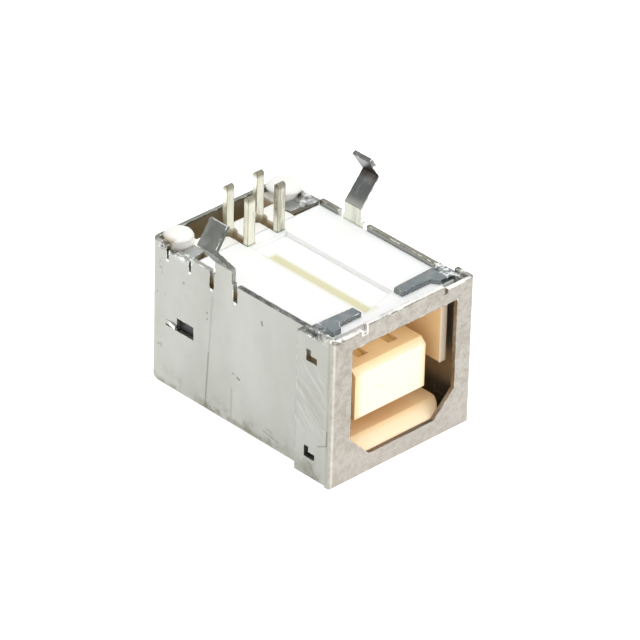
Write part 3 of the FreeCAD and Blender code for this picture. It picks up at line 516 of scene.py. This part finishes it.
# heads of the two bosses, spread and domed like hot-pressed rivets, in millimetres
bossHeads = {
    "left": {"middle": (-4.43, 7.04), "radius": 0.95},
    "right": {"middle": (4.43, 7.04), "radius": 1.18},
    # inward from the rim, height, from the underside over the rim to the crown
    "profile": (
        (0.30, 10.41),
        (0.10, 10.42),
        (0.02, 10.47),
        (0.0, 10.55),
        (0.02, 10.64),
        (0.10, 10.73),
        (0.24, 10.81),
        (0.45, 10.87),
        (0.70, 10.91),
    ),
    "crown": 10.92,
    "steps": 48,
    "lobes": ((3, 0.7, 0.014), (5, 2.1, 0.008)),  # turns, start and depth of the rim's wander
    "wanderMost": 0.022,
    "profileRadius": 0.95,  # radius that the profile is drawn for
}


def makeBossHead(side, look):
    head = look[side]
    centreX, centreY = head["middle"]
    steps = look["steps"]
    share = head["radius"] / look["profileRadius"]
    mesh = bmesh.new()
    rings = []
    for inward, height in look["profile"]:
        ring = []
        for step in range(steps):
            angle = 2 * math.pi * step / steps
            wander = sum(depth * math.sin(turns * angle + start) for turns, start, depth in look["lobes"])
            reach = (head["radius"] - inward * share) * (1 + wander - look["wanderMost"])
            across = centreX + reach * math.cos(angle)
            along = centreY + reach * math.sin(angle)
            ring.append(mesh.verts.new((across, along, height)))
        rings.append(ring)
    crown = mesh.verts.new((centreX, centreY, look["crown"]))
    for step in range(steps):
        following = (step + 1) % steps
        for low, high in zip(rings, rings[1:]):
            mesh.faces.new((low[step], low[following], high[following], high[step]))
        mesh.faces.new((rings[-1][step], rings[-1][following], crown))
    mesh.faces.new(list(reversed(rings[0])))
    for face in mesh.faces:
        face.smooth = True
    addPiece("boss_head_" + side, mesh, nodes["tail_spacer"].material_slots[0].material)


for side in ("left", "right"):
    makeBossHead(side, bossHeads)


# side wall behind the L-shaped latch slots of the ears, in millimetres
latchBacks = {
    "wall": (5.27, 5.53),  # across, within the wall's sheet
    "feet": (1.43, 8.26),
    # slot outline along the socket and up from its foot, made larger by the margin
    "outline": ((-6.79, 0.0), (-5.86, 0.0), (-5.86, 0.8), (-6.24, 0.8), (-6.24, 0.43), (-6.79, 0.43)),
    "centre": (-6.2, 0.3),
    "margin": 0.04,
}


def makeLatchBacks(name, side, look):
    mesh = bmesh.new()
    centreAlong, centreUp = look["centre"]
    count = len(look["outline"])
    for foot in look["feet"]:
        layers = []
        for across in look["wall"]:
            layer = []
            for along, up in look["outline"]:
                along += math.copysign(look["margin"], along - centreAlong)
                up += math.copysign(look["margin"], up - centreUp)
                layer.append(mesh.verts.new((side * across, along, foot + up)))
            layers.append(layer)
        inner, outer = layers
        for corner in range(count):
            following = (corner + 1) % count
            mesh.faces.new((inner[corner], inner[following], outer[following], outer[corner]))
        mesh.faces.new(outer)
        mesh.faces.new(list(reversed(inner)))
    addPiece(name, mesh, nodes["shell"].material_slots[0].material)


makeLatchBacks("latch_backs_left", -1, latchBacks)
makeLatchBacks("latch_backs_right", 1, latchBacks)


# spring barbs behind the side windows, bent out of the walls, in millimetres
barbs = {
    "root": 6.89,  # along the socket
    "tip": 5.89,
    "wall": (5.25, 5.55),
    "lift": 0.2,
    "low": 4.73,
    "high": 5.07,
    "tipShrink": 0.07,
    "curl": 1.6,
    "steps": 10,
}


def makeBarb(name, side, look):
    mesh = bmesh.new()
    rings = []
    for step in range(look["steps"] + 1):
        share = step / look["steps"]
        along = look["root"] + (look["tip"] - look["root"]) * share
        lift = look["lift"] * share ** look["curl"]
        shrink = look["tipShrink"] * share
        inner, outer = (side * (across + lift) for across in look["wall"])
        low, high = look["low"] + shrink, look["high"] - shrink
        corners = ((inner, low), (outer, low), (outer, high), (inner, high))
        rings.append([mesh.verts.new((across, along, up)) for across, up in corners])
    for first, second in zip(rings, rings[1:]):
        for corner in range(4):
            following = (corner + 1) % 4
            mesh.faces.new((first[corner], first[following], second[following], second[corner]))
    mesh.faces.new(rings[0])
    mesh.faces.new(rings[-1])
    addPiece(name, mesh, nodes["shell"].material_slots[0].material)


makeBarb("barb_left", -1, barbs)
makeBarb("barb_right", 1, barbs)


# plated metal of the contacts
contactMetal = {
    "gold": (0.95, 0.74, 0.36, 1.0),
    "tin": (0.88, 0.87, 0.74, 1.0),
    "dark": (0.13, 0.11, 0.06, 1.0),
    "plating": (0.0072, 0.0085),  # heights between which gold turns to tin
    "metallic": (0.35, 0.85),  # of the gold and of the tin
    "smear": {"scale": 1100.0, "detail": 4.0, "rough": 0.6, "stretch": (1.0, 1.0, 0.25), "ramp": (0.4, 0.72)},
    "smearStrength": 0.28,
    "tips": (0.0128, 0.0132),
    "tipStrength": 0.75,
    "streak": {"scale": 2400.0, "detail": 3.0, "rough": 0.6, "stretch": (1.0, 1.0, 0.14), "ramp": (0.55, 0.62)},
    "streakStrength": 0.4,
    "outline": 0.00008,
    "outlineStrength": 0.75,
    "roughness": 0.24,
    "relief": 0.000006,
    "edge": 0.00005,
}


def makeContactMetal(look):
    material, tree, shader, place = startMaterial("contactMetal")
    height = addNode(tree, "SeparateXYZ", Vector=place).outputs[2]
    plated = fadeBetween(tree, height, *look["plating"])
    smear = patternOf(tree, place, **look["smear"])
    colour = blendColours(tree, plated, look["gold"], look["tin"])
    colour = blendColours(tree, times(tree, smear, look["smearStrength"]), colour, look["dark"])
    tips = fadeBetween(tree, height, *look["tips"])
    colour = blendColours(tree, times(tree, tips, look["tipStrength"]), colour, look["dark"])
    # dark streaks and outlines on the tails
    streak = times(tree, patternOf(tree, place, **look["streak"]), look["streakStrength"])
    outline = times(tree, edgeMask(tree, look["outline"]), look["outlineStrength"])
    marks = times(tree, maths(tree, "MAXIMUM", streak, outline), plated)
    colour = blendColours(tree, marks, colour, look["dark"])
    tree.links.new(colour, shader.inputs["Base Color"])
    tree.links.new(fadeBetween(tree, plated, 0.0, 1.0, *look["metallic"]), shader.inputs["Metallic"])
    shader.inputs["Roughness"].default_value = look["roughness"]
    giveRelief(tree, shader, smear, look["relief"], look["edge"])
    return material


contactMaterial = makeContactMetal(contactMetal)
for number in (1, 2, 3, 4):
    dress("contact_%d" % number, contactMaterial)
print("materials made")


# pale floor, white surroundings and soft lamps
studio = {
    "floorSize": 0.6,
    "floorColour": (0.85, 0.85, 0.85, 1.0),
    "floorRoughness": 0.9,
    "floorGlow": 0.9,
    "worldLight": 0.55,
    "lamps": {
        "overhead": {"place": (0.02, 0.03, 0.34), "size": 0.30, "power": 0.58},
        "frontLeft": {"place": (-0.26, -0.26, 0.20), "size": 0.22, "power": 0.26},
        "frontRight": {"place": (0.16, -0.32, 0.12), "size": 0.16, "power": 0.30},
    },
}


def seenDirectly(tree):
    # 1 for rays that show the background: from the camera, in gloss or through clear material
    path = addNode(tree, "LightPath").outputs
    gloss = maths(tree, "MAXIMUM", path["Is Glossy Ray"], path["Is Transmission Ray"])
    return maths(tree, "MAXIMUM", path["Is Camera Ray"], gloss)


def makeStudio(look):
    size = look["floorSize"]
    mesh = bpy.data.meshes.new("floor")
    corners = [(-size, -size, 0), (size, -size, 0), (size, size, 0), (-size, size, 0)]
    mesh.from_pydata(corners, [], [(0, 1, 2, 3)])
    floor = bpy.data.objects.new("floor", mesh)
    bpy.context.scene.collection.objects.link(floor)
    material, tree, shader, _ = startMaterial("paleFloor")
    shader.inputs["Base Color"].default_value = look["floorColour"]
    shader.inputs["Roughness"].default_value = look["floorRoughness"]
    shader.inputs["Specular IOR Level"].default_value = 0.0
    shader.inputs["Emission Color"].default_value = (1.0, 1.0, 1.0, 1.0)
    glow = times(tree, seenDirectly(tree), look["floorGlow"])
    tree.links.new(glow, shader.inputs["Emission Strength"])
    mesh.materials.append(material)
    world = bpy.data.worlds.new("studioWorld")
    bpy.context.scene.world = world
    world.use_nodes = True
    tree = world.node_tree
    background = tree.nodes["Background"]
    background.inputs["Color"].default_value = (1.0, 1.0, 1.0, 1.0)
    strength = fadeBetween(tree, seenDirectly(tree), 0.0, 1.0, look["worldLight"], 1.0)
    tree.links.new(strength, background.inputs["Strength"])
    for name, lamp in look["lamps"].items():
        data = bpy.data.lights.new(name, "AREA")
        data.shape = "SQUARE"
        data.size = lamp["size"]
        data.energy = lamp["power"]
        light = bpy.data.objects.new(name, data)
        bpy.context.scene.collection.objects.link(light)
        light.location = lamp["place"]
        light.rotation_mode = "QUATERNION"
        light.rotation_quaternion = Vector(lamp["place"]).to_track_quat("Z", "Y")


makeStudio(studio)
bpy.context.scene.view_settings.view_transform = "Standard"
print("studio lit")
